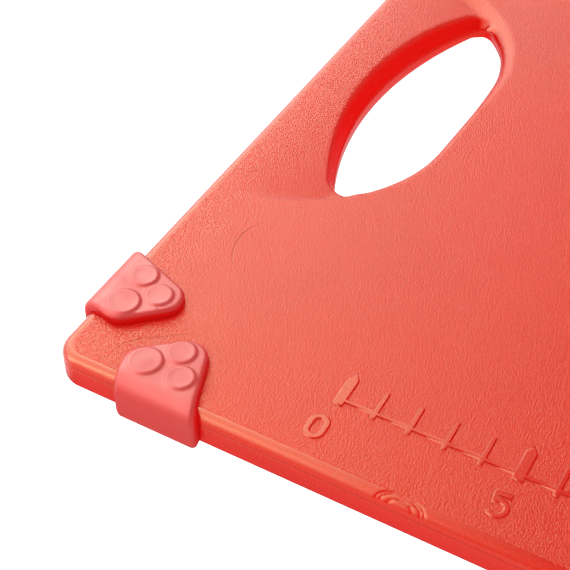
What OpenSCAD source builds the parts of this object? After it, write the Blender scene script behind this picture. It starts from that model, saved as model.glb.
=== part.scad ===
// Cutting board of moulded plastic with a carrying handle at one end, a raised
// centimetre ruler along the front edge and eight soft grips, two at each corner.
//
// Frame: X runs along the board, Y across it and Z up. The origin lies under the
// middle of the board, on the surface that the lower bumps of the grips stand on.
// The handle is at the -X end and the ruler is along the -Y edge.

/* [Board] */
// Length of the board along X
board_l = 457.2; // [400:0.1:600]
// Width of the board along Y
board_w = 304.8; // [260:0.1:400]
// Thickness of the board
board_t = 11; // [9:0.1:16]
// Radius of the board's corners, seen from above
corner_r = 9; // [7:0.5:18]
// Radius of the rounding along the board's edges
edge_r = 2.8; // [1:0.1:3.5]

/* [Handle] */
// Width of the handle bar at its middle, from the end of the board to the opening
bar_w = 21; // [16:0.1:30]
// Distance from the end of the board to the far side of the opening
handle_reach = 55.1; // [45:0.1:70]
// Radius of the opening's two ends
handle_end_r = 48.5; // [40:0.5:60]
// Radius of the bar's curved inner side
bar_curve_r = 115; // [105:1:160]
// Radius of the opening's two tips
tip_r = 6; // [2:0.1:8]
// How far the bar is scooped out on each face, beside the opening
scoop_depth = 2.4; // [0.5:0.1:2.8]

/* [Ruler] */
// Distance from the end of the board to the ruler's zero mark
ruler_start = 76.2; // [70:0.1:90]
// Number of centimetres on the ruler
ruler_cm = 30; // [5:5:30]
// Distance from the front edge to the middle of the ruler's base line
ruler_line_at = 23.2; // [21:0.1:30]
// Height of the ruler's marks above the board
ruler_h = 0.4; // [0.2:0.1:0.8]
// Height of the numerals, as read
numeral_h = 8.5; // [6:0.1:9]

/* [Grips] */
// Thickness of a grip's two pads
pad_h = 2.8; // [2:0.1:4]
// Thickness of a grip's wall, outside the edge of the board
wrap_t = 3; // [2:0.1:4]
// Distance from the corner to the large bump, on the long edges
long_edge_at = 26.4; // [24:0.1:40]
// Distance from the corner to the large bump, on the short edges
short_edge_at = 23.2; // [23:0.1:34]
// Height of the round bumps on the pads
bump_h = 0.6; // [0.3:0.1:1.2]
// Radius of the large bump
large_bump_r = 4.6; // [3:0.1:5]
// Radius of the two small bumps
small_bump_r = 3.9; // [3:0.1:4.2]
// How much further in the pads reach on the short edges
short_edge_inward = 1; // [0:0.1:2]
// Radius of the rubber peg that joins a grip's two pads through the board
peg_r = 2.5; // [1.5:0.1:3]

/* [Hidden] */
$fn = 96;

board_colour = "#e8503c";
grip_colour = "#ee8078";

// Levels, from the surface that the board stands on
board_bottom = bump_h + pad_h;
board_top = board_bottom + board_t;
grip_top = board_top + pad_h;

// A little more than touching, so that cuts pass right through and joined solids merge
extra = 1;

// Handle: all three arcs are measured from the board's left end
end_arc_x = handle_reach - handle_end_r;
end_arc_y = 19.3;
bar_arc_x = bar_w + bar_curve_r;

// Scoop: its outline is two round ends joined by straight sides, cut off at the tips of
// the opening, and it deepens along X
scoop_reach = 54.6;
scoop_end_y = 19.6;
scoop_end_r = 50.5;
scoop_from = 5;
scoop_bend = [20, 0.9];
scoop_full = 34;
scoop_to = 39.5;

// Centre of the tip's arc, which lies inside the end arc and inside the bar's arc
tip_a = bar_curve_r - tip_r;
tip_b = handle_end_r - tip_r;
arc_gap = norm([bar_arc_x - end_arc_x, end_arc_y]);
tip_along = (tip_a * tip_a - tip_b * tip_b + arc_gap * arc_gap) / (2 * arc_gap);
tip_across = sqrt(tip_a * tip_a - tip_along * tip_along);
arc_dir = [end_arc_x - bar_arc_x, end_arc_y] / arc_gap;
tip_x = bar_arc_x + arc_dir.x * tip_along + arc_dir.y * tip_across;
tip_y = arc_dir.y * tip_along - arc_dir.x * tip_across;

// Ruler: every fifth mark is wide and pointed, and has a numeral
line_w = 1.2;
mark_w = 1.5;
wide_mark_w = 3.1;
mark_foot = 2.1;
mark_reach = 7.8;
wide_mark_reach = 10.4;
numeral_gap = 6.7;
numeral_w = 5.8;
stroke_w = 1.6;
numeral_shift = -1;
ten_pitch = 7;

// Grip: places of the bumps, along the edge from the large bump and in from the edge
large_bump = [0, 7.8];
far_bump = [11.35, 7.2];
inner_bump = [6.8, 15];
peg_place = [6, 9.6];
near_round = [0, 7.5];
near_round_r = 6.5;
inner_round = [7.4, 14.6];
inner_round_r = 6;
wall_near = -4.4;
wall_far = 22;

// Rectangle with round corners, from the origin along +X and +Y
module round_rect(l, w, r) {
    translate([r, 0]) square([l - 2 * r, w]);
    translate([0, r]) square([l, w - 2 * r]);
    for (x = [r, l - r], y = [r, w - r])
        translate([x, y]) circle(r);
}

// Board without its handle: round corners in plan and rounded edges
module slab() {
    half_l = board_l / 2;
    half_w = board_w / 2;
    translate([0, 0, board_bottom]) {
        translate([corner_r - half_l, -half_w, 0])
            rotate([90, 0, 90])
                linear_extrude(board_l - 2 * corner_r)
                    round_rect(board_w, board_t, edge_r);
        translate([-half_l, half_w - corner_r, 0])
            rotate([90, 0, 0])
                linear_extrude(board_w - 2 * corner_r)
                    round_rect(board_l, board_t, edge_r);
        for (x = [-1, 1], y = [-1, 1])
            translate([x * (half_l - corner_r), y * (half_w - corner_r), 0])
                rotate_extrude()
                    intersection() {
                        translate([-corner_r, 0])
                            round_rect(2 * corner_r, board_t, edge_r);
                        square([corner_r, board_t]);
                    }
    }
}

// Two round ends joined by straight sides, which reach x = reach
module round_ended_outline(reach, end_r, end_y) {
    for (y = [-end_y, end_y])
        translate([reach - end_r, y]) circle(end_r);
    translate([reach - 2 * end_r, -end_y])
        square([2 * end_r, 2 * end_y]);
}

// Outline of the opening: round ends and a straight side, cut off by the bar's curve,
// with round tips
module opening_outline() {
    touch_bar = [tip_x, tip_y] - tip_r * unit([bar_arc_x, 0] - [tip_x, tip_y]);
    touch_end = [tip_x, tip_y] + tip_r * unit([tip_x, tip_y] - [end_arc_x, end_arc_y]);
    difference() {
        intersection() {
            round_ended_outline(handle_reach, handle_end_r, end_arc_y);
            translate([bar_arc_x, 0]) circle(bar_curve_r, $fn = 180);
        }
        for (side = [0, 1])
            mirror([0, side])
                polygon([
                    touch_bar, touch_end,
                    touch_end + [2 * tip_r, 4 * tip_r], touch_bar + [-2 * tip_r, 4 * tip_r],
                ]);
    }
    for (y = [-tip_y, tip_y])
        translate([tip_x, y]) circle(tip_r);
}

function unit(v) = v / norm(v);

// What is scooped off one face of the handle bar, with the face at z = 0
module scoop() {
    intersection() {
        translate([0, 0, -scoop_depth - extra])
            linear_extrude(scoop_depth + 2 * extra)
                round_ended_outline(scoop_reach, scoop_end_r, scoop_end_y);
        translate([0, board_w / 2, 0])
            rotate([90, 0, 0])
                linear_extrude(board_w)
                    polygon([
                        [scoop_from, 0], [scoop_bend.x, -scoop_bend.y],
                        [scoop_full, -scoop_depth],
                        [scoop_to, -scoop_depth], [scoop_to, extra],
                        [scoop_from, extra],
                    ]);
    }
}

// Part of a ring of the stroke's width, from angle a0 to a1
module stroke_arc(r, a0, a1) {
    far = 2 * r + stroke_w;
    mid = (a0 + a1) / 2;
    intersection() {
        difference() {
            circle(r + stroke_w / 2, $fn = 32);
            circle(r - stroke_w / 2, $fn = 32);
        }
        polygon([
            [0, 0], far * [cos(a0), sin(a0)], far * [cos(mid), sin(mid)],
            far * [cos(a1), sin(a1)],
        ]);
    }
}

// Numerals of one stroke's width, centred on X and standing on the X axis
module numeral(n) {
    r = (numeral_w - stroke_w) / 2;
    low = numeral_h * 0.3;
    if (n == 0)
        difference() {
            translate([-numeral_w / 2, 0])
                round_rect(numeral_w, numeral_h, numeral_w / 2 - 0.01);
            translate([stroke_w - numeral_w / 2, stroke_w])
                round_rect(numeral_w - 2 * stroke_w, numeral_h - 2 * stroke_w,
                           numeral_w / 2 - stroke_w - 0.01);
        }
    if (n == 1) {
        translate([-stroke_w / 2, 0]) square([stroke_w, numeral_h]);
        translate([-stroke_w / 2, numeral_h - stroke_w])
            rotate(25) translate([-stroke_w, 0]) square([2 * stroke_w, stroke_w * 0.9]);
    }
    if (n == 2) {
        translate([0, numeral_h - r - stroke_w / 2]) stroke_arc(r, -20, 90);
        translate([0, numeral_h - r - stroke_w / 2]) stroke_arc(r, 90, 170);
        polygon([
            [-numeral_w / 2, 0.3], [stroke_w - numeral_w / 2, 0],
            [numeral_w / 2 - 0.1, numeral_h - r - stroke_w],
            [numeral_w / 2 - stroke_w, numeral_h - r - stroke_w * 0.9],
        ]);
        translate([-numeral_w / 2, 0]) square([numeral_w, stroke_w]);
    }
    if (n == 3)
        for (y = [low - stroke_w / 2 + 0.4, numeral_h - low + stroke_w / 2 - 0.4])
            translate([0, y])
                for (a = [-90, 0])
                    stroke_arc(low - 0.4, a, a + 90);
    if (n == 5) {
        for (a = [-140, -60, 20])
            translate([0, low - 0.2 + stroke_w / 2]) stroke_arc(low - 0.2, a, a + 81);
        translate([-numeral_w / 2 + 0.3, numeral_h / 2]) square([stroke_w, numeral_h / 2]);
        translate([-numeral_w / 2 + 0.3, numeral_h - stroke_w])
            square([numeral_w - 0.5, stroke_w]);
    }
}

// Number up to 99, centred on X
module number(n) {
    tens = floor(n / 10);
    if (tens > 0) {
        translate([-ten_pitch / 2, 0]) numeral(tens);
        translate([ten_pitch / 2, 0]) numeral(n % 10);
    } else {
        numeral(n);
    }
}

// Flat outline of the whole ruler, with its zero at x = 0 and its base line at y = 0
module ruler_outline() {
    translate([-wide_mark_w / 2, -line_w / 2])
        square([ruler_cm * 10 + wide_mark_w, line_w]);
    for (cm = [0:ruler_cm])
        translate([cm * 10, 0])
            if (cm % 5 == 0) {
                half = wide_mark_w / 2;
                polygon([
                    [-half, -mark_foot], [half, -mark_foot], [half, mark_reach],
                    [0, wide_mark_reach], [-half, mark_reach],
                ]);
                translate([numeral_shift, -numeral_gap - numeral_h]) number(cm);
            } else {
                translate([-mark_w / 2, -mark_foot])
                    square([mark_w, mark_foot + mark_reach]);
            }
}

// Board in one piece with its handle and its ruler
module board() {
    color(board_colour)
        difference() {
            union() {
                slab();
                translate([ruler_start - board_l / 2, ruler_line_at - board_w / 2,
                           board_top - extra])
                    linear_extrude(extra + ruler_h) ruler_outline();
            }
            translate([-board_l / 2, 0, 0]) {
                translate([0, 0, board_bottom - extra])
                    linear_extrude(board_t + 2 * extra) opening_outline();
                translate([0, 0, board_top]) scoop();
                translate([0, 0, board_bottom]) mirror([0, 0, 1]) scoop();
            }
            for (right = [0, 1], back = [0, 1])
                at_corner(right, back) {
                    peg_hole(long_edge_at, 0);
                    mirror([1, -1, 0]) peg_hole(short_edge_at, short_edge_inward);
                }
        }
}

// Puts its children, drawn at the front left corner, at one of the four corners
module at_corner(right, back) {
    mirror([right, 0, 0])
        mirror([0, back, 0])
            translate([-board_l / 2, -board_w / 2, 0]) children();
}

module peg_hole(at, inward) {
    translate([at + peg_place.x, peg_place.y + inward, board_bottom - extra])
        cylinder(r = peg_r, h = board_t + 2 * extra);
}

function arc_points(c, r, a0, a1, steps = 10) =
    [for (i = [0:steps]) c + r * [cos(a0 + (a1 - a0) * i / steps),
                                  sin(a0 + (a1 - a0) * i / steps)]];

// Outline of a grip from above: a wall along the edge, narrowing inwards round two bumps
module grip_outline(inward) {
    polygon(concat(
        [[wall_far, -wrap_t]],
        arc_points(inner_round + [0, inward], inner_round_r, 28, 134, 16),
        arc_points(near_round + [0, inward], near_round_r, 134, 193),
        [[wall_near, -wrap_t]]
    ));
}

// Cross-section of an edge, grown by a margin, running along +X and deep into the board
module edge_profile(margin, length) {
    depth = 60;
    translate([0, -margin, board_bottom - margin_z(margin)])
        rotate([90, 0, 90])
            linear_extrude(length)
                round_rect(depth, board_t + 2 * margin_z(margin), edge_r + margin);
}

// A grip's pads are a little thinner than its wall
function margin_z(margin) = margin * pad_h / wrap_t;

// Grip on an edge that runs along +X from the corner, with its large bump at x = at and
// its pads reaching further in by a distance
module grip(at, inward) {
    color(grip_colour) {
        difference() {
            intersection() {
                translate([at, 0, 0])
                    linear_extrude(grip_top + bump_h) grip_outline(inward);
                edge_profile(wrap_t, 2 * at + wall_far);
            }
            edge_profile(0, 2 * at + wall_far);
        }
        translate([at, inward, 0]) {
            bumps(0);
            bumps(grip_top - extra);
            translate([peg_place.x, peg_place.y, board_bottom - extra])
                cylinder(r = peg_r, h = board_t + 2 * extra);
        }
    }
}

// Three round bumps, from level z upwards, sunk into the pad that they stand on
module bumps(z) {
    translate([0, 0, z]) {
        translate(large_bump) cylinder(r = large_bump_r, h = bump_h + extra);
        for (place = [far_bump, inner_bump])
            translate(place) cylinder(r = small_bump_r, h = bump_h + extra);
    }
}

module front_edge_left_grip() { at_corner(0, 0) grip(long_edge_at, 0); }
module front_edge_right_grip() { at_corner(1, 0) grip(long_edge_at, 0); }
module back_edge_left_grip() { at_corner(0, 1) grip(long_edge_at, 0); }
module back_edge_right_grip() { at_corner(1, 1) grip(long_edge_at, 0); }
module left_edge_front_grip() {
    at_corner(0, 0) mirror([1, -1, 0]) grip(short_edge_at, short_edge_inward);
}
module left_edge_back_grip() {
    at_corner(0, 1) mirror([1, -1, 0]) grip(short_edge_at, short_edge_inward);
}
module right_edge_front_grip() {
    at_corner(1, 0) mirror([1, -1, 0]) grip(short_edge_at, short_edge_inward);
}
module right_edge_back_grip() {
    at_corner(1, 1) mirror([1, -1, 0]) grip(short_edge_at, short_edge_inward);
}

board();
front_edge_left_grip();
front_edge_right_grip();
back_edge_left_grip();
back_edge_right_grip();
left_edge_front_grip();
left_edge_back_grip();
right_edge_front_grip();
right_edge_back_grip();
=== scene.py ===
"""Looks of the cutting board: a grained plastic plate with a carrying handle and a
raised ruler, and eight soft grips wrapped over its edges.

Sizes are in millimetres and are turned into metres only when a mesh is made. The
board's own coordinates are used while shapes are worked out: x from its left end,
y from its middle line and z from its upper face.
"""
import math

import bmesh
import bpy
import numpy as np
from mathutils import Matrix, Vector, geometry


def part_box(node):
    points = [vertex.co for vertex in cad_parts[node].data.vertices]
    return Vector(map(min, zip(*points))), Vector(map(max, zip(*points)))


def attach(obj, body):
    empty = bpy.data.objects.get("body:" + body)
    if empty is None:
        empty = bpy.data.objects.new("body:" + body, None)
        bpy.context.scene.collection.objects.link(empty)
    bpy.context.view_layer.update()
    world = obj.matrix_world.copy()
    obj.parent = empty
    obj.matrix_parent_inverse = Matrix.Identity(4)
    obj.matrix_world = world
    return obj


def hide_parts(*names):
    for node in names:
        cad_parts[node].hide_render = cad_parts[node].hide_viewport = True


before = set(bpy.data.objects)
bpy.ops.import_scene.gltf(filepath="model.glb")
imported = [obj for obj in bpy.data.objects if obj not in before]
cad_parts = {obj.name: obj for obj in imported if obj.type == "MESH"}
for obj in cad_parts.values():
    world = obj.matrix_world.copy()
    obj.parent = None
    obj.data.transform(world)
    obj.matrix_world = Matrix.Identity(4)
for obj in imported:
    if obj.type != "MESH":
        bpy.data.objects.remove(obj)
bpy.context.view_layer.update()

MM = 0.001

# Plate. FACE_INSET is where the broad faces' own meshes begin, and the groove is a fine
# moulding line below the upper rounding, given by the levels that its floor lies between;
# shade is painted on its floor.
CORNER_R = 8.0
EDGE_R = 2.8
LOW_EDGE_R = 2.2
FACE_INSET = EDGE_R + 1.2
GROOVE = (-EDGE_R - 0.7, -EDGE_R - 0.3)
RULER_H = 0.4
board_low, board_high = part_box("board")
LENGTH = (board_high.x - board_low.x) / MM
WIDTH = (board_high.y - board_low.y) / MM
THICK = (board_high.z - board_low.z) / MM - RULER_H
TOP_LEVEL = board_high.z / MM - RULER_H

# Handle: the opening's arcs, and how the plate is scooped out round them. TIP_R has the
# front and back tips' radii, and STEP_OUT the widths of the scoop's slope at the front
# and at the back.
BAR_W = 21.0
BAR_R = 115.0
HANDLE_REACH = 55.3
SIDE_R = 400.0
SIDE_Y = 22.0
END_R = 48.3
TIP_R = (7.7, 4.4)
SCOOP_REACH = 54.6
SCOOP_END_R = 50.5
SCOOP_END_Y = 19.6
SCOOP_DEPTH = 2.4
SCOOP_FROM = 5.0
SCOOP_FULL = 34.0
SCOOP_CURVE = 1.5
STEP_OUT = (0.8, 4.6)
STEP_TURN = 20.0
STEP_IN = 2.0
RIM_R = 2.4

# Ruler
RULER_START = 76.2
RULER_CM = 30
RULER_LINE_AT = 23.2
LINE_W = 1.2
MARK_W = 1.5
WIDE_MARK_W = 3.1
MARK_FOOT = 2.1
MARK_REACH = 7.8
WIDE_MARK_REACH = 10.4
NUMERAL_H = 8.5
NUMERAL_W = 5.8
NUMERAL_GAP = 6.7
STROKE_W = 1.6
NUMERAL_SHIFT = -1.0
TEN_PITCH = 7.0

# Grips: places along the edge from the large bump, and inwards from the edge. Each kind
# has its large bump's place from the corner, how far in its pads are moved, its inner
# rounding, the ends of its wall and how much the wall's near end leans along the edge.
LONG_EDGE = {"at": 26.0, "inward": -0.2, "inner": (8.3, 14.3, 6.3), "near": -4.9, "far": 21.2,
             "lean": 0.42}
SHORT_EDGE = {"at": 23.2, "inward": 0.55, "inner": (7.4, 16.2, 6.4), "near": -4.1, "far": 21.6,
              "lean": -0.1}
BUMPS = [(0.0, 7.8, 4.6), (11.35, 7.2, 3.9), (6.8, 15.0, 3.9)]
NEAR_ROUND = (0.0, 7.5, 6.5)
PAD_H = 2.8
WRAP_T = 3.0
PAD_EDGE_R = 1.4
SIDE_INSET = 0.1
LINING_LEVEL = -0.05
UNROLL_R = 5.0

# Mould marks. Each line of the gate has its place as a share of the gate's size, its
# width and its strength.
NIB_AT = (41.0, 53.3)
NIB_R = 1.4
NIB_REACH = 3.0
GATE_AT = 104.3
GATE_SIZE = (6.6, 3.7)
GATE_SPAN = 12
GATE_LINES = [(1.0, 0.05, 1.0), (0.84, 0.04, 0.7), (0.52, 0.06, 0.8)]
GATE_LINE_DEPTH = 0.17
GATE_DEPTH = 0.1
STEEP_INSET = 1.5
WITNESS_CIRCLES = [(36.8, -87.8), (54.0, 91.2)]
WITNESS_R = 15.6


def smooth(t):
    """Smooth step from 0 to 1."""
    t = np.clip(t, 0.0, 1.0)
    return t * t * (3 - 2 * t)


def arc(centre, radius, start, end, steps):
    """Points along an arc; angles in degrees."""
    a = np.radians(np.linspace(start, end, steps + 1))
    return np.stack([centre[0] + radius * np.cos(a), centre[1] + radius * np.sin(a)], 1)


# ---------------------------------------------------------------- handle

def hand_space_distance(x, y):
    """Distance outside the hand space: two round ends joined by straight sides."""
    dy = np.maximum(np.abs(y) - SCOOP_END_Y, 0.0)
    return np.hypot(x - (SCOOP_REACH - SCOOP_END_R), dy) - SCOOP_END_R


def scoop(x, y):
    """How far a face of the plate is sunk near the handle."""
    run = np.clip((x - SCOOP_FROM) / (SCOOP_FULL - SCOOP_FROM), 0, 1)
    depth = SCOOP_DEPTH * run ** SCOOP_CURVE
    to_back = smooth((y + STEP_TURN) / (2 * STEP_TURN))
    step_out = STEP_OUT[0] + (STEP_OUT[1] - STEP_OUT[0]) * to_back
    into = (step_out - hand_space_distance(x, y)) / (step_out + STEP_IN)
    return depth * smooth(into)


def opening_centres(tip_r):
    """Centres of the opening's arcs: bar, long side, round end and round tip."""
    bar = np.array([BAR_W + BAR_R, 0.0])
    side = np.array([HANDLE_REACH - SIDE_R, 0.0])
    turn = math.asin(SIDE_Y / SIDE_R)
    end = side + (SIDE_R - END_R) * np.array([math.cos(turn), math.sin(turn)])
    gap = np.linalg.norm(end - bar)
    a, b = BAR_R - tip_r, END_R - tip_r
    along = (a * a - b * b + gap * gap) / (2 * gap)
    across = math.sqrt(a * a - along * along)
    ux, uy = (end - bar) / gap
    tip = bar + along * np.array([ux, uy]) + across * np.array([uy, -ux])
    return bar, side, end, tip


def half_opening(tip_r):
    """Back half of the opening's outline, from its long side to the bar's middle."""
    bar, side, end, tip = opening_centres(tip_r)
    side_angle = math.degrees(math.asin(SIDE_Y / SIDE_R))
    bar_angle = math.degrees(math.atan2(*(tip - bar)[::-1]))
    end_angle = math.degrees(math.atan2(*(tip - end)[::-1]))
    return np.concatenate([
        arc(side, SIDE_R, 0, side_angle, 22)[:-1],
        arc(end, END_R, side_angle, end_angle, 40)[:-1],
        arc(tip, tip_r, end_angle, bar_angle, 18)[:-1],
        arc(bar, BAR_R, bar_angle, 180, 54),
    ])


def opening_outline():
    """Outline of the opening, anticlockwise, with outward normals into the plastic."""
    front, back = (half_opening(tip_r) for tip_r in TIP_R)
    points = np.concatenate([back, front[1:-1][::-1] * [1, -1]])
    ahead = np.roll(points, -1, 0) - np.roll(points, 1, 0)
    normals = np.stack([ahead[:, 1], -ahead[:, 0]], 1)
    normals /= np.linalg.norm(normals, axis=1)[:, None]
    return points, normals


# Cross-section of the opening's wall: out from its narrowest line, and down from the
# upper face or up from the lower one. The bar's drop is a share of the way to the
# parting line, and the round ends' is in millimetres.
BAR_UPPER = [(6.4, 0), (5.5, 0.02), (4.6, 0.09), (3.6, 0.24), (2.5, 0.46), (1.4, 0.7),
             (0.55, 0.89), (0.1, 1)]
BAR_LOWER = [(0.04, 1), (-0.1, 0.74), (-0.3, 0.4), (-0.3, 0.2), (0.0, 0.04), (0.6, 0)]
END_UPPER = [(RIM_R * (1 - math.sin(a)), RIM_R * (1 - math.cos(a)))
             for a in np.radians(np.linspace(0, 90, 8))]
END_LOWER = [(0.5, 3.1), (0.7, 2.4), (0.9, 1.6), (1.1, 0.8), (1.4, 0.25), (2.1, 0)]

# How far the nib stands out in each upper row, and how wide the bar's slope is at
# places from the front of the opening to the back.
NIB_SHARE = [0, 0.5, 0.9, 1, 0.85, 0.5, 0.15, 0]
BAND_TAPER = [(-56, 0.36), (-46, 0.42), (-38, 0.5), (-20, 0.66), (0, 0.8), (20, 0.88), (40, 0.95),
              (56, 0.8)]


def bar_share(normals):
    """How far each place on the opening's wall is on the bar, and not on a round end."""
    return smooth(0.5 - normals[:, 0])


def opening_rings():
    """Rings of points down the wall of the opening, from the upper face to the lower."""
    rim, normals = opening_outline()
    share = bar_share(normals)
    taper = np.interp(rim[:, 1], *zip(*BAND_TAPER))
    nib = np.exp(-(np.hypot(rim[:, 0] - NIB_AT[0], rim[:, 1] - NIB_AT[1]) / NIB_R) ** 2)
    rings = []
    for low, bar_rows, end_rows in ((0, BAR_UPPER, END_UPPER), (1, BAR_LOWER, END_LOWER)):
        for k, (bar_row, end_row) in enumerate(zip(bar_rows, end_rows)):
            out = share * bar_row[0] * taper + (1 - share) * end_row[0]
            if not low:
                out = out - NIB_REACH * nib * NIB_SHARE[k]
            spot = rim + out[:, None] * normals
            face = scoop(*(rim + np.maximum(out, 0)[:, None] * normals).T)
            parting = THICK / 2 - face
            depth = face + share * bar_row[1] * parting + (1 - share) * end_row[1]
            rings.append(np.column_stack([spot, depth - THICK if low else -depth]))
    return rings


# ---------------------------------------------------------------- outline

def board_outline():
    """Points round the plate, anticlockwise from above, with outward normals."""
    half = WIDTH / 2
    gate_from, gate_to = GATE_AT - GATE_SPAN, GATE_AT + GATE_SPAN
    front = np.concatenate([
        np.arange(CORNER_R, gate_from, 4.0), np.arange(gate_from, gate_to, 0.3),
        np.linspace(gate_to, LENGTH - CORNER_R, 80),
    ])
    points, normals = [], []
    for x in front:
        points.append((x, -half))
        normals.append((0, -1))
    corners = [
        (LENGTH - CORNER_R, -half + CORNER_R, -90), (LENGTH - CORNER_R, half - CORNER_R, 0),
        (CORNER_R, half - CORNER_R, 90), (CORNER_R, -half + CORNER_R, 180),
    ]
    runs = [
        [(LENGTH, y, 1, 0) for y in np.linspace(-half + CORNER_R, half - CORNER_R, 70)],
        [(x, half, 0, 1) for x in np.linspace(LENGTH - CORNER_R, CORNER_R, 100)],
        [(0, y, -1, 0) for y in np.linspace(half - CORNER_R, -half + CORNER_R, 70)],
        [],
    ]
    for (cx, cy, start), run in zip(corners, runs):
        for a in np.radians(np.linspace(start, start + 90, 25)[1:-1]):
            points.append((cx + CORNER_R * math.cos(a), cy + CORNER_R * math.sin(a)))
            normals.append((math.cos(a), math.sin(a)))
        for x, y, nx, ny in run:
            points.append((x, y))
            normals.append((nx, ny))
    return np.array(points, float), np.array(normals, float)


def edge_profile():
    """Cross-section of the plate's edge, from the upper face to the lower one: distance
    in from the side, and level below the upper face."""
    rows = [(FACE_INSET, 0), (EDGE_R + 0.75, 0), (EDGE_R + 0.5, 0), (EDGE_R + 0.3, -0.07),
            (EDGE_R + 0.12, -0.05)]
    rows += [(EDGE_R * (1 - math.sin(a)), -EDGE_R * (1 - math.cos(a)))
             for a in np.radians(np.linspace(4, 90, 18))]
    line = -EDGE_R - 0.1
    rows += [(0.02, line - 0.12), (0.28, line - 0.3), (0.28, line - 0.55), (0.05, line - 0.75)]
    rows += [(0.0, line - 1.1), (0.0, -THICK / 2)]
    rows += [(LOW_EDGE_R * (1 - math.cos(a)), -THICK + LOW_EDGE_R * (1 - math.sin(a)))
             for a in np.radians(np.linspace(0, 90, 10))]
    return np.array(rows + [(FACE_INSET, -THICK)])


def gate_mark(x, inset):
    """Depth of the trimmed gate's half-round lines on the front edge's rounding."""
    e = np.hypot((x - GATE_AT) / GATE_SIZE[0], (inset + 0.2) / GATE_SIZE[1])
    line = sum(strength * np.exp(-((e - at) / width) ** 2) for at, width, strength in GATE_LINES)
    return GATE_LINE_DEPTH * line + GATE_DEPTH * smooth((1 - e) / 0.15)


# ---------------------------------------------------------------- ruler

def offset_loop(loop, distance):
    """Closed anticlockwise loop moved inwards by a distance, with mitred corners."""
    before = loop - np.roll(loop, 1, 0)
    after = np.roll(loop, -1, 0) - loop
    before /= np.linalg.norm(before, axis=1)[:, None]
    after /= np.linalg.norm(after, axis=1)[:, None]
    n0 = np.stack([-before[:, 1], before[:, 0]], 1)
    n1 = np.stack([-after[:, 1], after[:, 0]], 1)
    total = n0 + n1
    share = np.maximum((total * n0).sum(1), 0.35)
    return loop + distance * total / share[:, None]


def ruler_comb():
    """Outline of the base line with all its marks, anticlockwise, zero at x = 0."""
    half_line = LINE_W / 2
    lower, upper = [], []
    for cm in range(RULER_CM + 1):
        wide = cm % 5 == 0
        half = (WIDE_MARK_W if wide else MARK_W) / 2
        x = cm * 10.0
        lower += [(x - half, -half_line), (x - half, -MARK_FOOT),
                  (x + half, -MARK_FOOT), (x + half, -half_line)]
        top = [(x + half, half_line), (x + half, MARK_REACH)]
        if wide:
            top.append((x, WIDE_MARK_REACH))
        top += [(x - half, MARK_REACH), (x - half, half_line)]
        upper.append(top)
    lower = lower[1:-1]
    first, last = upper[0], upper[-1]
    upper[0] = first[:-1]
    upper[-1] = last[1:]
    loop = lower + [p for top in upper[::-1] for p in top]
    return np.array(loop, float)


def numeral_path(n):
    """Middle line of a numeral's stroke, centred on x = 0 and standing on y = 0."""
    s = STROKE_W / 2
    w, h = NUMERAL_W / 2 - s, NUMERAL_H - s
    if n == 0:
        top = arc((0, h - w), w, 0, 180, 10)
        return np.concatenate([top, arc((0, s + w), w, 180, 360, 10)])
    if n == 1:
        return np.array([(-w * 0.7, h - 1.5), (0.3, h), (0.3, s - 0.4)])
    if n == 2:
        bow = arc((0, h - w), w, 165, -35, 12)
        return np.concatenate([bow, [(-w, s), (w + s, s)]])
    if n == 3:
        r = (h - s) / 4
        top = arc((0, h - r), r * 1.12, 150, -75, 10)
        low = arc((0, s + r), r * 1.12, 75, -150, 10)
        return np.concatenate([top, low])
    r = 2.35
    bowl = arc((-0.1, s + r), r, 125, -140, 14)
    return np.concatenate([[(w + 0.2, h), (-w + 0.3, h)], bowl])


def stroke_loops(path, closed, inset):
    """Outline loops of a stroke of a numeral; a closed stroke has an inner loop too."""
    half = STROKE_W / 2 - inset
    path = path + [NUMERAL_SHIFT, 0]
    if closed:
        return [offset_loop(path, -half), offset_loop(path, half)[::-1]]
    path[0] += inset * (path[1] - path[0]) / np.linalg.norm(path[1] - path[0])
    path[-1] += inset * (path[-2] - path[-1]) / np.linalg.norm(path[-2] - path[-1])
    steps = np.diff(path, axis=0)
    steps /= np.linalg.norm(steps, axis=1)[:, None]
    n = np.stack([-steps[:, 1], steps[:, 0]], 1)
    n0 = np.concatenate([n[:1], n])
    n1 = np.concatenate([n, n[-1:]])
    total = n0 + n1
    share = np.maximum((total * n0).sum(1), 0.5)
    side = half * total / share[:, None]
    return [np.concatenate([path - side, (path + side)[::-1]])]


def raised_features(inset):
    """All loops of the ruler and its numerals, in the plate's coordinates."""
    origin = np.array([RULER_START, RULER_LINE_AT - WIDTH / 2])
    loops = [offset_loop(ruler_comb(), inset) + origin]
    for cm in range(0, RULER_CM + 1, 5):
        digits = [cm] if cm < 10 else [cm // 10, cm % 10]
        for k, digit in enumerate(digits):
            shift = (k - (len(digits) - 1) / 2) * TEN_PITCH
            place = origin + [cm * 10 + shift, -NUMERAL_GAP - NUMERAL_H]
            for loop in stroke_loops(numeral_path(digit), digit == 0, inset):
                loops.append(loop + place)
    return loops


# ---------------------------------------------------------------- meshes

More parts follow.
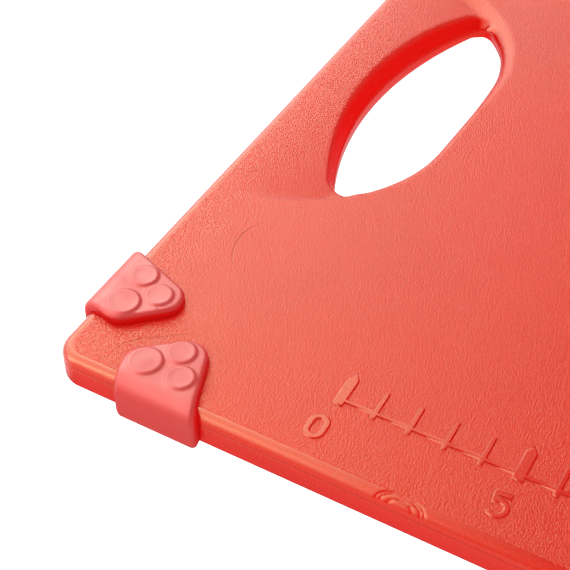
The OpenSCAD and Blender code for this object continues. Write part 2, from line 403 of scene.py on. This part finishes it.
class Sheet:
    """Collects points and lines, and triangulates the area between its loops."""

    def __init__(self):
        self.points, self.heights, self.edges = [], [], []
        self.grain, self.seam = [], []

    def scatter(self, points, heights, grain=1.0, seam=0.0):
        count = len(points)
        self.points += [tuple(p) for p in points]
        self.heights += list(np.broadcast_to(heights, count))
        self.grain += list(np.broadcast_to(grain, count))
        self.seam += list(np.broadcast_to(seam, count))

    def path(self, points, heights, grain=1.0, seam=0.0):
        first = len(self.points)
        self.edges += [(first + i, first + i + 1) for i in range(len(points) - 1)]
        self.scatter(points, heights, grain, seam)

    def loop(self, points, heights, grain=1.0):
        first = len(self.points)
        self.path(points, heights, grain)
        self.edges.append((len(self.points) - 1, first))

    def triangles(self, keep):
        """Vertices (x, y, height), triangles whose middles satisfy keep, and layers."""
        flat = [Vector(p) for p in self.points]
        verts, _, faces, origins, _, _ = geometry.delaunay_2d_cdt(
            flat, self.edges, [], 0, 1e-5)
        columns = [[values[o[0]] if o else blank for o in origins] for values, blank in
                   ((self.heights, 0.0), (self.grain, 1.0), (self.seam, 0.0))]
        xy = np.array([tuple(v) for v in verts])
        faces = np.array([tuple(f) for f in faces])
        middle = xy[faces].mean(1)
        kept = faces[keep(middle[:, 0], middle[:, 1])]
        layers = {"grain": np.array(columns[1]), "seam": np.array(columns[2])}
        return np.column_stack([xy, columns[0]]), kept, layers


def strip(rings):
    """Quads between rings of points, each an array of the same length."""
    count = len(rings[0])
    verts = np.concatenate(rings)
    faces = []
    for k in range(len(rings) - 1):
        for i in range(count):
            j = (i + 1) % count
            faces.append((k * count + i, (k + 1) * count + i,
                          (k + 1) * count + j, k * count + j))
    return verts, faces


def inside(loop, x, y):
    """Whether points are inside a closed loop."""
    x0, y0 = loop[:, 0], loop[:, 1]
    x1, y1 = np.roll(x0, -1), np.roll(y0, -1)
    crossings = np.zeros(len(x), int)
    for ax, ay, bx, by in zip(x0, y0, x1, y1):
        if ay != by:
            spans = (ay > y) != (by > y)
            crossings += spans & (x < ax + (y - ay) * (bx - ax) / (by - ay))
    return crossings % 2 == 1


def add_part(bm, verts, faces, layers=None):
    """Adds a mesh part. A layer gives one number for each of the part's points."""
    made = [bm.verts.new(tuple(v)) for v in verts]
    for name, values in (layers or {}).items():
        layer = bm.verts.layers.float[name]
        for v, value in zip(made, np.broadcast_to(values, len(made))):
            v[layer] = float(value)
    for f in faces:
        bm.faces.new([made[i] for i in f])


def hex_grid(x0, x1, y0, y1, pitch):
    """Points at the corners of even triangles, over a rectangle."""
    rows = np.arange(y0, y1, pitch * 0.866)
    return np.array([(x + (k % 2) * pitch / 2, y)
                     for k, y in enumerate(rows) for x in np.arange(x0, x1, pitch)])


def finish_mesh(bm, name, material):
    """Turns millimetres in plate coordinates into metres in the frame's coordinates."""
    bmesh.ops.remove_doubles(bm, verts=bm.verts, dist=0.003)
    bmesh.ops.recalc_face_normals(bm, faces=bm.faces)
    for v in bm.verts:
        v.co = Vector((v.co.x * MM + board_low.x, v.co.y * MM, (v.co.z + TOP_LEVEL) * MM))
    mesh = bpy.data.meshes.new(name)
    bm.to_mesh(mesh)
    bm.free()
    for polygon in mesh.polygons:
        polygon.use_smooth = True
    piece = bpy.data.objects.new(name, mesh)
    bpy.context.scene.collection.objects.link(piece)
    mesh.materials.append(material)
    return piece


HAIRLINE_SIDES = (-0.4, -0.14, 0.14, 0.4)


def hairline(sheet, path, depth):
    """A fine moulded line: a shallow groove along an open path, with shade painted along its
    floor, darker where it is deeper.
    """
    ahead = np.gradient(path, axis=0)
    ahead /= np.linalg.norm(ahead, axis=1)[:, None]
    across = np.stack([-ahead[:, 1], ahead[:, 0]], 1)
    for side in HAIRLINE_SIDES:
        sheet.path(path + side * across, 0.0)
    # painted shade along the groove's floor, darker where the groove is deeper
    sheet.path(path, -depth, seam=np.clip(depth / 0.12, 0, 1))


# Rows of points up the side of the raised ruler: inset, height and how much grain.
RULER_ROWS = ((-0.3, 0.0, 1), (0.0, 0.0, 0.3), (0.1, 0.3, 0), (0.2, RULER_H, 0),
              (0.42, RULER_H, 0))


def add_ruler(sheet):
    """The raised ruler and its numerals."""
    for inset, height, grain in RULER_ROWS:
        for loop in raised_features(inset):
            sheet.loop(loop, height, grain)


def add_witness_lines(sheet):
    """Fine mould marks: two uneven circles and a line round each long edge's grip. The circles
    are deeper on their left, where more shade is painted into them.
    """
    for k, (cx, cy) in enumerate(WITNESS_CIRCLES):
        turn = np.radians(np.linspace(0, 345, 116)) + math.radians(-40 if k else 40)
        radius = WITNESS_R + (0.12 * np.sin(7 * turn) + 0.08 * np.sin(17 * turn))
        ring = np.stack([cx + radius * np.cos(turn), cy + radius * np.sin(turn)], 1)
        # the circles' left side is deeper and gets more painted shade
        dark = np.exp(-((np.degrees(turn) - 185) / 32) ** 2)
        hairline(sheet, ring, 0.035 + 0.115 * dark)
    path = witness_by_grip()
    depth = 0.04 + 0.08 * np.exp(-((np.linspace(0, 1, len(path)) - 0.42) / 0.2) ** 2)
    for right, back in ((0, 0), (1, 0), (0, 1), (1, 1)):
        place = np.stack([LENGTH - path[:, 0] if right else path[:, 0],
                          (WIDTH / 2 - path[:, 1]) * (1 if back else -1)], 1)
        hairline(sheet, place, depth)


# Distance between the points of a broad face: near the handle, and on the flat rest
NEAR_PITCH = 1.1
FAR_PITCH = 9.0


def face_sheet(outer, rim, with_details):
    """One broad face of the plate, with its scoop and, on the upper face, the ruler."""
    sheet = Sheet()
    sheet.loop(outer, 0.0)
    sheet.loop(rim, -scoop(rim[:, 0], rim[:, 1]))
    reach_x = STEP_OUT[1] + HANDLE_REACH + 3
    reach_y = SCOOP_END_Y + SCOOP_END_R + STEP_OUT[1] + 3
    near = hex_grid(EDGE_R + 2, reach_x, -reach_y, reach_y, NEAR_PITCH)
    far = hex_grid(8, LENGTH - 7, -WIDTH / 2 + 42, WIDTH / 2 - 7, FAR_PITCH)
    clear = (far[:, 0] > reach_x + 2) | (np.abs(far[:, 1]) > reach_y + 2)
    gaps = near[:, None, :] - rim[None, ::2, :]
    away = np.sqrt((gaps ** 2).sum(2)).min(1) > 0.8
    near = near[away & ~inside(rim, near[:, 0], near[:, 1])]
    sheet.scatter(near, -scoop(near[:, 0], near[:, 1]))
    sheet.scatter(far[clear], 0.0)
    if with_details:
        add_ruler(sheet)
        add_witness_lines(sheet)
    return sheet.triangles(lambda x, y: ~inside(rim, x, y))


def add_outer_edge(bm, points, normals):
    """The plate's outer edge, with the gate's mark pressed into its front rounding:
    sideways where the rounding is steep, and down where it is flat."""
    front = normals[:, 1] < -0.99
    rings, grain, seam = [], [], []
    for inset, level in edge_profile():
        mark = gate_mark(points[:, 0], inset) * front * (level > -EDGE_R - 0.01)
        steep = inset < STEEP_INSET
        spot = points - (inset + mark * steep)[:, None] * normals
        rings.append(np.column_stack([spot, level - mark * (not steep)]))
        grain.append(np.full(len(points), 1.0 if inset > EDGE_R + 0.4 else 0.0))
        # painted shade: the groove below the upper rounding is coloured a little darker
        seam.append(np.full(len(points), 0.25 if GROOVE[0] < level < GROOVE[1] else 0.0))
    add_part(bm, *strip(rings), {"grain": np.concatenate(grain), "seam": np.concatenate(seam)})


def add_opening_wall(bm, rings):
    """The opening's wall. Grain fades from both faces, and the wall's middle is matt."""
    last = len(BAR_UPPER) - 1
    middle = [rings[last] + (rings[last + 1] - rings[last]) * t for t in (0.3, 0.7)]
    rings = rings[:last + 1] + middle + rings[last + 1:]
    rows = len(rings)
    fade = [1.0, 0.8, 0.5, 0.3, 0.15, 0.1] + [0.05] * (rows - 7) + [1.0]
    rim, normals = opening_outline()
    on_bar = bar_share(normals)
    on_back_end = (1 - on_bar) * smooth((rim[:, 1] - 25) / 15)
    bar_matt = np.array([0, 0.1, 0.6] + [1] * 5 + [0.9] + [0.3] * (rows - 9))
    end_matt = np.array([0] * 5 + [0.4, 0.8] + [1] * (rows - 8) + [0])
    matt = bar_matt[:, None] * on_bar + end_matt[:, None] * on_back_end
    add_part(bm, *strip(rings), {"grain": np.repeat(fade, len(rim)), "matt": matt.ravel()})


def make_board(material):
    """The plate: two broad faces, the outer edge and the wall of the opening."""
    bm = bmesh.new()
    for layer in ("grain", "seam", "matt"):
        bm.verts.layers.float.new(layer)
    points, normals = board_outline()
    add_outer_edge(bm, points, normals)
    rings = opening_rings()
    add_opening_wall(bm, rings)
    outer_loop = points - FACE_INSET * normals
    for rim, upper in ((rings[0][:, :2], True), (rings[-1][:, :2], False)):
        verts, faces, layers = face_sheet(outer_loop, rim, upper)
        if not upper:
            verts = verts * [1, 1, -1] - [0, 0, THICK]
        add_part(bm, verts, faces, layers)
    return finish_mesh(bm, "board_plate", material)


# ---------------------------------------------------------------- grips

def tangent_angle(point, circle):
    """Angle on a circle (x, y, radius) at which a line from an outside point touches it."""
    dx, dy = point[0] - circle[0], point[1] - circle[1]
    return math.degrees(math.atan2(dy, dx) + math.acos(circle[2] / math.hypot(dx, dy)))


def unroll(v):
    """Distance across a grip, unrolled over the edge, of a place seen from above."""
    turn = np.arcsin(np.clip((EDGE_R - v) / (EDGE_R + WRAP_T), 0, 1))
    return np.where(v >= EDGE_R, v, EDGE_R - UNROLL_R * turn)


# The line halfway down the plate's side, unrolled: a grip's two halves meet on it
MIDDLE_T = EDGE_R - UNROLL_R * math.pi / 2 - (THICK / 2 - EDGE_R)


def moved_in(place, kind):
    """A round place on a grip, as (along, inwards, radius), on this kind of grip."""
    return place[0], place[1] + kind["inward"], place[2]


def pad_path(kind):
    """One pad's outline from above, from the far end of the wall to its near end."""
    inner_round, near_round = kind["inner"], moved_in(NEAR_ROUND, kind)
    far_turn = tangent_angle((kind["far"], -WRAP_T), inner_round)
    dx, dy = inner_round[0] - near_round[0], inner_round[1] - near_round[1]
    gap = math.hypot(dx, dy)
    link = math.degrees(math.atan2(dy, dx)
                        + math.acos((near_round[2] - inner_round[2]) / gap))
    inner = arc(inner_round[:2], inner_round[2], far_turn, link, 20)
    near = arc(near_round[:2], near_round[2], link, 190, 14)
    levels = EDGE_R - (EDGE_R + WRAP_T) * np.sin(np.radians(np.linspace(90, 0, 19)))
    reach = (levels + WRAP_T) / (inner[0, 1] + WRAP_T)
    rise = np.stack([kind["far"] + (inner[0, 0] - kind["far"]) * reach, levels], 1)
    rest = np.linspace(rise[-1], inner[0], 12)[1:-1]
    t = np.linspace(0, 1, 15)[1:, None]
    start, bend = near[-1], near[-1] + [0.9, -3.2]
    pinch, end = (kind["near"] - 0.5, 0.2), (kind["near"], -WRAP_T)
    fall = ((1 - t) ** 3 * start + 3 * (1 - t) ** 2 * t * np.array(bend)
            + 3 * (1 - t) * t ** 2 * np.array(pinch) + t ** 3 * np.array(end))
    return np.concatenate([rise, rest, inner, near, fall])


def resample(loop, pitch):
    """A closed loop with its points spaced evenly."""
    closed = np.concatenate([loop, loop[:1]])
    run = np.concatenate([[0], np.cumsum(np.linalg.norm(np.diff(closed, axis=0), axis=1))])
    at = np.linspace(0, run[-1], int(run[-1] / pitch) + 1)[:-1]
    return np.stack([np.interp(at, run, closed[:, k]) for k in (0, 1)], 1)


def grip_outline(kind):
    """Closed outline of a whole grip, unrolled: both pads and the wall between them."""
    path = pad_path(kind)
    upper = np.stack([path[:, 0], unroll(path[:, 1])], 1)
    lower = np.stack([upper[::-1, 0], 2 * MIDDLE_T - upper[::-1, 1]], 1)
    loop = np.concatenate([upper, lower])
    keep = np.linalg.norm(loop - np.roll(loop, 1, 0), axis=1) > 0.01
    return resample(loop[keep], 0.55)


def over_edge(s, t, height, kind):
    """Places on a grip, seen from its corner: along the edge, in from it, and up."""
    low = t < MIDDLE_T
    t = np.where(low, 2 * MIDDLE_T - t, t)
    turn = np.clip((EDGE_R - t) / UNROLL_R, 0, math.pi / 2)
    thin = height * (PAD_H / WRAP_T + (1 - PAD_H / WRAP_T) * turn / (math.pi / 2))
    radius = EDGE_R + thin
    inward = np.maximum(t - EDGE_R, 0)
    down = np.maximum(EDGE_R - UNROLL_R * math.pi / 2 - t, 0)
    v = EDGE_R + inward - radius * np.sin(turn)
    z = -EDGE_R - down + radius * np.cos(turn)
    lean = kind["lean"] * np.clip((kind["far"] - 3 - s) / (kind["far"] - kind["near"] - 3), 0, 1)
    return np.stack([s + lean * height * np.sin(turn), v, np.where(low, -THICK - z, z)], 1)


# Cross-section of a round bump: out from its radius, and height above the pad
BUMP_RINGS = np.array([(1.1, 0), (0.8, 0.03), (0.55, 0.1), (0.35, 0.22), (0.15, 0.38),
                       (-0.05, 0.51), (-0.3, 0.59), (-0.6, 0.6), (-1.0, 0.56), (-1.5, 0.51)])


def bump_height(s, t, kind):
    """Height of the round bumps above the pads."""
    t = np.where(t < MIDDLE_T, 2 * MIDDLE_T - t, t)
    height = np.zeros(len(s))
    for u, v, r in (moved_in(place, kind) for place in BUMPS):
        away = np.hypot(s - u, t - v) - r
        height = np.maximum(height, np.interp(-away, -BUMP_RINGS[:, 0], BUMP_RINGS[:, 1]))
    return height


def wall_matt_and_shade(loop):
    """How matt a grip's skin is, and how much shade is painted on it: plain on the pads, and
    duller and painted a deeper red over the edge.
    """
    return 0.45 * smooth((2 - loop[:, 1]) / 6)


def grip_grid(pitch):
    """Points all over the unrolled space that a grip takes."""
    return hex_grid(-8, 26, 2 * MIDDLE_T - 24, 24, pitch)


def grip_side(outline, kind):
    """A grip's side and its rounded edge: vertices, faces, layer, and the last loop."""
    r = PAD_EDGE_R
    rows = [(0.0, LINING_LEVEL), (0.0, 0.5), (0.04, 1.1), (SIDE_INSET, WRAP_T - r)]
    rows += [(SIDE_INSET + r * (1 - math.cos(a)), WRAP_T - r + r * math.sin(a))
             for a in np.radians(np.linspace(12, 90, 8))]
    rings, loops = [], []
    for inset, height in rows:
        loop = offset_loop(outline, inset)
        loops.append(loop)
        share = smooth((height - WRAP_T + r) / r)
        rings.append(np.column_stack([loop, height + share * bump_height(*loop.T, kind)]))
    # the sides are fully matt and get the full painted shade colour
    matt = [1.0, 1.0, 1.0, 0.9] + list(np.linspace(0.75, 0.0, len(rows) - 4))
    matt = np.maximum(np.repeat(matt, len(outline)), wall_matt_and_shade(np.concatenate(loops)))
    return (*strip(rings), matt), loops[-1]


def grip_skin(outline, edge, kind):
    """A grip's outer face inside its rounded edge, with rings of points at the bumps."""
    skin = Sheet()
    skin.loop(edge, 0.0)
    guard = offset_loop(outline, SIDE_INSET + PAD_EDGE_R + 0.2)
    grid = grip_grid(0.95)
    away = np.full(len(grid), True)
    for low in (False, True):
        for u, v, radius in (moved_in(place, kind) for place in BUMPS):
            place = (u, 2 * MIDDLE_T - v if low else v)
            for out, _ in BUMP_RINGS:
                ring = arc(place, radius + out, 0, 360, 44)[:-1]
                clear = inside(guard, ring[:, 0], ring[:, 1])
                if clear.all():
                    skin.loop(ring, 0.0)
                else:
                    skin.scatter(ring[clear], 0.0)
            gap = np.hypot(grid[:, 0] - place[0], grid[:, 1] - place[1])
            away &= (gap > radius + 1.5) | (gap < radius - 2.1)
    inner = offset_loop(outline, SIDE_INSET + PAD_EDGE_R + 0.45)
    grid = grid[away & inside(inner, grid[:, 0], grid[:, 1])]
    skin.scatter(grid, 0.0)
    verts, faces, _ = skin.triangles(lambda x, y: inside(edge, x, y))
    verts[:, 2] = WRAP_T + bump_height(verts[:, 0], verts[:, 1], kind)
    return verts, faces, wall_matt_and_shade(verts)


def grip_lining(outline):
    """A grip's inner face, just inside the plate's surface."""
    lining = Sheet()
    lining.loop(outline, 0.0)
    grid = grip_grid(1.2)
    inner = offset_loop(outline, 0.6)
    lining.scatter(grid[inside(inner, grid[:, 0], grid[:, 1])], 0.0)
    verts, faces, _ = lining.triangles(lambda x, y: inside(outline, x, y))
    verts[:, 2] = LINING_LEVEL
    return verts, faces, 1.0


def make_grip(name, right, back, short_edge, material):
    """One grip: its outer skin with rounded edges and bumps, and its inner skin."""
    kind = SHORT_EDGE if short_edge else LONG_EDGE
    outline = grip_outline(kind)
    side, edge = grip_side(outline, kind)
    bm = bmesh.new()
    bm.verts.layers.float.new("matt")
    for verts, faces, matt in (side, grip_skin(outline, edge, kind), grip_lining(outline)):
        place = over_edge(verts[:, 0], verts[:, 1], verts[:, 2], kind)
        x, y = place[:, 0] + kind["at"], place[:, 1]
        if short_edge:
            x, y = y, x
        x = LENGTH - x if right else x
        y = (WIDTH / 2 - y) * (1 if back else -1)
        add_part(bm, np.column_stack([x, y, place[:, 2]]), faces, {"matt": matt})
    return finish_mesh(bm, name, material)


def witness_by_grip():
    """Path of the fine line on the plate round a long edge's grip, from its corner."""
    at = LONG_EDGE["at"]
    low = arc((at + NEAR_ROUND[0], NEAR_ROUND[1]), NEAR_ROUND[2] + 4.6, 205, 131, 22)
    u, v, r = LONG_EDGE["inner"]
    high = arc((at + u, v), r + 4.4, 131, 62, 20)
    path = np.concatenate([low, np.linspace(low[-1], high[0], 10)[1:-1], high])
    run = np.arange(len(path))
    path[:, 1] += 0.15 * np.sin(run * 0.9)
    return path[path[:, 1] > EDGE_R + 1.6]


# ---------------------------------------------------------------- materials

def new_material(name, colour, roughness, specular, tint):
    """A plain material; its plain values stand behind the sockets that nodes feed."""
    material = bpy.data.materials.new(name)
    material.use_nodes = True
    shader = material.node_tree.nodes["Principled BSDF"]
    shader.inputs["Base Color"].default_value = (*colour, 1)
    shader.inputs["Roughness"].default_value = roughness
    shader.inputs["Specular IOR Level"].default_value = specular
    shader.inputs["Specular Tint"].default_value = (*tint, 1)
    return material, material.node_tree, shader


def node(tree, kind, **settings):
    """A node with its settings and its inputs' values."""
    made = tree.nodes.new(kind)
    for key, value in settings.items():
        if hasattr(made, key):
            setattr(made, key, value)
        else:
            made.inputs[key.replace("_", " ")].default_value = value
    return made


def feed(tree, value, socket):
    """Gives a socket its value: another node's output, a number or a colour."""
    if hasattr(value, "is_linked"):
        tree.links.new(value, socket)
    else:
        socket.default_value = (*value, 1) if isinstance(value, tuple) else value


def noise(tree, where, scale, detail=2.0, rough=0.5):
    """Smooth noise between 0 and 1."""
    made = node(tree, "ShaderNodeTexNoise", Scale=scale, Detail=detail, Roughness=rough)
    tree.links.new(where, made.inputs["Vector"])
    return made.outputs["Fac"]


def maths(tree, operation, a, b):
    """One calculation with two values."""
    made = node(tree, "ShaderNodeMath", operation=operation)
    feed(tree, a, made.inputs[0])
    feed(tree, b, made.inputs[1])
    return made.outputs[0]


def ramp(tree, value, low, high, to_low=0.0, to_high=1.0, kind="LINEAR"):
    """Takes a value from one range to another."""
    made = node(tree, "ShaderNodeMapRange", From_Min=low, From_Max=high,
                To_Min=to_low, To_Max=to_high, interpolation_type=kind)
    tree.links.new(value, made.inputs["Value"])
    return made.outputs["Result"]


def attribute(tree, name):
    """One of the numbers that a mesh's layers hold."""
    return node(tree, "ShaderNodeAttribute", attribute_name=name).outputs["Fac"]


def colour_between(tree, factor, a, b):
    """A colour between two."""
    made = node(tree, "ShaderNodeMix", data_type="RGBA")
    feed(tree, factor, made.inputs[0])
    feed(tree, a, made.inputs[6])
    feed(tree, b, made.inputs[7])
    return made.outputs[2]


def number_between(tree, factor, a, b):
    """A number between two."""
    made = node(tree, "ShaderNodeMix", data_type="FLOAT")
    feed(tree, factor, made.inputs[0])
    feed(tree, a, made.inputs[2])
    feed(tree, b, made.inputs[3])
    return made.outputs[0]


def board_plastic():
    """Moulded plastic with a fine leather grain on its broad faces only; shade is painted into
    the grain's pits and along its fine grooves.
    """
    material, tree, shader = new_material(
        "board_plastic", (0.6, 0.003, 0.002), 0.3, 0.5, (0.42, 1.0, 0.58))
    where = tree.nodes.new("ShaderNodeTexCoord").outputs["Object"]
    grain, seam, matt = (attribute(tree, name) for name in ("grain", "seam", "matt"))
    pebble = node(tree, "ShaderNodeTexVoronoi", feature="F1", Scale=2000.0)
    tree.links.new(where, pebble.inputs["Vector"])
    cells = ramp(tree, pebble.outputs["Distance"], 0.05, 0.7, 1.0, 0.0, "SMOOTHSTEP")
    fine = noise(tree, where, 1700.0, 1.0)
    height = maths(tree, "ADD", maths(tree, "MULTIPLY", cells, 0.6),
                   maths(tree, "MULTIPLY", fine, 0.5))
    masked = maths(tree, "MULTIPLY", height, grain)
    broad = noise(tree, where, 45.0, 2.0)
    total = maths(tree, "ADD", masked, maths(tree, "MULTIPLY", broad, 0.6))
    bump = node(tree, "ShaderNodeBump", Strength=0.65, Distance=0.0002)
    tree.links.new(total, bump.inputs["Height"])
    tree.links.new(bump.outputs[0], shader.inputs["Normal"])
    cloud_and_pit_shade = noise(tree, where, 16.0, 3.0)
    # painted shade: the grain's pits are coloured darker, standing in for shade in the crevices
    pit_shade = maths(tree, "MULTIPLY", maths(tree, "SUBTRACT", height, 0.55), grain)
    cloud_and_pit_shade = maths(tree, "ADD", cloud_and_pit_shade, maths(tree, "MULTIPLY", pit_shade, 0.9))
    mottle_and_pit_shade = colour_between(tree, cloud_and_pit_shade, (0.6, 0.002, 0.0015), (0.73, 0.004, 0.003))
    # painted shade: the floors of the fine grooves are coloured dark red
    groove_shaded = colour_between(tree, seam, mottle_and_pit_shade, (0.3, 0.01, 0.006))
    tree.links.new(groove_shaded, shader.inputs["Base Color"])
    rough = maths(tree, "ADD", ramp(tree, fine, 0.3, 0.7, 0.2, 0.28),
                  maths(tree, "MULTIPLY", grain, 0.12))
    tree.links.new(rough, shader.inputs["Roughness"])
    tree.links.new(ramp(tree, matt, 0, 1, 0.5, 0.04), shader.inputs["Specular IOR Level"])
    return material


def grip_rubber():
    """Soft rubber: satin, very finely pitted, with a few pale scuffs; its sides and the wrap over
    the edge are painted a deeper red as shade.
    """
    material, tree, shader = new_material(
        "grip_rubber", (0.52, 0.008, 0.01), 0.45, 1.0, (0.5, 1.0, 0.86))
    where = tree.nodes.new("ShaderNodeTexCoord").outputs["Object"]
    matt = attribute(tree, "matt")
    fine = noise(tree, where, 2400.0, 2.0)
    soft = noise(tree, where, 120.0, 2.0)
    height = maths(tree, "ADD", maths(tree, "MULTIPLY", fine, 0.25), soft)
    bump = node(tree, "ShaderNodeBump", Strength=0.4, Distance=0.00012)
    tree.links.new(height, bump.inputs["Height"])
    tree.links.new(bump.outputs[0], shader.inputs["Normal"])
    specks = ramp(tree, noise(tree, where, 620.0, 3.0, 0.65), 0.68, 0.76)
    patches = ramp(tree, noise(tree, where, 60.0, 1.0), 0.52, 0.62)
    scuff = maths(tree, "MULTIPLY", specks, patches)
    # painted shade: where matt, the rubber is painted a deeper, more saturated red
    base = colour_between(tree, matt, (0.54, 0.009, 0.011), (0.6, 0.003, 0.003))
    scuffed = colour_between(tree, maths(tree, "MULTIPLY", scuff, 0.35), base,
                             (0.85, 0.35, 0.32))
    tree.links.new(scuffed, shader.inputs["Base Color"])
    tree.links.new(ramp(tree, soft, 0.3, 0.7, 0.46, 0.56), shader.inputs["Roughness"])
    tree.links.new(ramp(tree, matt, 0, 1, 1.0, 0.15), shader.inputs["Specular IOR Level"])
    return material


# ---------------------------------------------------------------- stage

# Aims are in millimetres from the board's front left corner, and so is the camera's
# distance; the softbox's distance and size and the floor's are in metres.
CAMERA_AIM = (42.6, 53.4)
CAMERA_DISTANCE = 378.8
CAMERA_AZIMUTH = -29.43
CAMERA_ELEVATION = 44.07
CAMERA_LENS = 84.63
SOFTBOX_AIM = (60, 80)
SOFTBOX_AZIMUTH = -60
SOFTBOX_ELEVATION = 40
SOFTBOX_DISTANCE = 0.9
SOFTBOX_SIZE = 0.5
SOFTBOX_POWER = 1.5
FLOOR_SIZE = 6
FLOOR_GAP = 0.0002
FLOOR_GLOW = 1.6


def add_camera():
    """Looks down at the handle corner from the front and right."""
    aim = Vector((board_low.x + CAMERA_AIM[0] * MM, board_low.y + CAMERA_AIM[1] * MM,
                  TOP_LEVEL * MM))
    turn, rise = math.radians(CAMERA_AZIMUTH), math.radians(CAMERA_ELEVATION)
    forward = Vector((math.sin(turn) * math.cos(rise), math.cos(turn) * math.cos(rise),
                      -math.sin(rise)))
    data = bpy.data.cameras.new("camera")
    data.lens = CAMERA_LENS
    data.sensor_width = 36
    data.clip_start = 0.01
    camera = bpy.data.objects.new("camera", data)
    camera.location = aim - forward * CAMERA_DISTANCE * MM
    camera.rotation_euler = forward.to_track_quat("-Z", "Y").to_euler()
    bpy.context.scene.collection.objects.link(camera)
    bpy.context.scene.camera = camera


def add_softbox():
    """A square soft light aimed at the handle corner, seen only in reflections."""
    aim = Vector((board_low.x + SOFTBOX_AIM[0] * MM, board_low.y + SOFTBOX_AIM[1] * MM,
                  TOP_LEVEL * MM))
    turn, rise = math.radians(SOFTBOX_AZIMUTH), math.radians(SOFTBOX_ELEVATION)
    away = Vector((math.sin(turn) * math.cos(rise), math.cos(turn) * math.cos(rise),
                   math.sin(rise)))
    data = bpy.data.lights.new("softbox", "AREA")
    data.shape = "SQUARE"
    data.size = SOFTBOX_SIZE
    data.energy = SOFTBOX_POWER
    light = bpy.data.objects.new("softbox", data)
    light.location = aim + away * SOFTBOX_DISTANCE
    light.rotation_euler = (-away).to_track_quat("-Z", "Y").to_euler()
    light.visible_diffuse = False
    bpy.context.scene.collection.objects.link(light)


def add_world():
    """White all round, but what glossy surfaces reflect is bright only on the left, with
    a streak at the left front."""
    world = bpy.data.worlds.new("studio")
    bpy.context.scene.world = world
    world.use_nodes = True
    tree = world.node_tree
    path = tree.nodes.new("ShaderNodeLightPath")
    towards = tree.nodes.new("ShaderNodeSeparateXYZ")
    tree.links.new(tree.nodes.new("ShaderNodeTexCoord").outputs["Generated"],
                   towards.inputs[0])
    x, y, z = (towards.outputs[axis] for axis in "XYZ")
    side = ramp(tree, x, -0.1, -0.33, 0.15, 7.2, "SMOOTHSTEP")
    side = maths(tree, "MULTIPLY", side, ramp(tree, z, 0.1, 0.5, 0.35, 1.0))
    side = maths(tree, "MULTIPLY", side, ramp(tree, y, 0.67, 0.76, 1.0, 0.7))
    streak = maths(tree, "MULTIPLY", ramp(tree, x, -0.3, -0.42), ramp(tree, y, -0.3, -0.5))
    streak = maths(tree, "MULTIPLY", streak, ramp(tree, y, -0.8, -0.65, 0.0, 6.0))
    side = maths(tree, "ADD", side, streak)
    soft = ramp(tree, x, -1.0, 1.0, 0.75, 1.4)
    strength = number_between(tree, path.outputs["Is Glossy Ray"], soft, side)
    background = tree.nodes["Background"]
    background.inputs["Color"].default_value = (1, 1, 1, 1)
    tree.links.new(strength, background.inputs["Strength"])


def add_floor():
    """A white floor that glows softly, so that it looks evenly white. In reflections it
    is bright only past the board's front and left edges and under the handle."""
    bpy.ops.mesh.primitive_plane_add(size=FLOOR_SIZE, location=(0, 0, -FLOOR_GAP))
    floor = bpy.context.object
    floor.name = "floor"
    material = bpy.data.materials.new("floor_white")
    material.use_nodes = True
    tree = material.node_tree
    path = tree.nodes.new("ShaderNodeLightPath")
    direct = maths(tree, "MAXIMUM", path.outputs["Is Camera Ray"], path.outputs["Is Diffuse Ray"])
    where = tree.nodes.new("ShaderNodeSeparateXYZ")
    tree.links.new(tree.nodes.new("ShaderNodeTexCoord").outputs["Object"], where.inputs[0])
    edge = board_low.y - 0.002
    front = ramp(tree, where.outputs["Y"], edge + 0.005, edge - 0.02, 0.02, 1.2)
    left = ramp(tree, where.outputs["X"], board_low.x + 0.003, board_low.x - 0.012, 0.0, 2.0)
    under = ramp(tree, where.outputs["Y"], board_low.y + 0.07, board_low.y + 0.09, 0.0, 0.7)
    reflected = maths(tree, "MAXIMUM", maths(tree, "MAXIMUM", front, left), under)
    glow = tree.nodes.new("ShaderNodeEmission")
    tree.links.new(number_between(tree, direct, reflected, FLOOR_GLOW), glow.inputs["Strength"])
    tree.links.new(glow.outputs[0], tree.nodes["Material Output"].inputs["Surface"])
    floor.data.materials.append(material)


add_camera()
add_world()
add_floor()
add_softbox()
red = board_plastic()
rubber = grip_rubber()
board = make_board(red)
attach(board, "root")
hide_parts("board")
GRIPS = {
    "front_edge_left_grip": (0, 0, 0), "front_edge_right_grip": (1, 0, 0),
    "back_edge_left_grip": (0, 1, 0), "back_edge_right_grip": (1, 1, 0),
    "left_edge_front_grip": (0, 0, 1), "left_edge_back_grip": (0, 1, 1),
    "right_edge_front_grip": (1, 0, 1), "right_edge_back_grip": (1, 1, 1),
}
for part, (right, back, short_edge) in GRIPS.items():
    grip = make_grip("rubber_" + part, right, back, short_edge, rubber)
    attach(grip, "root")
    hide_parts(part)

bpy.context.scene.view_settings.view_transform = "Standard"
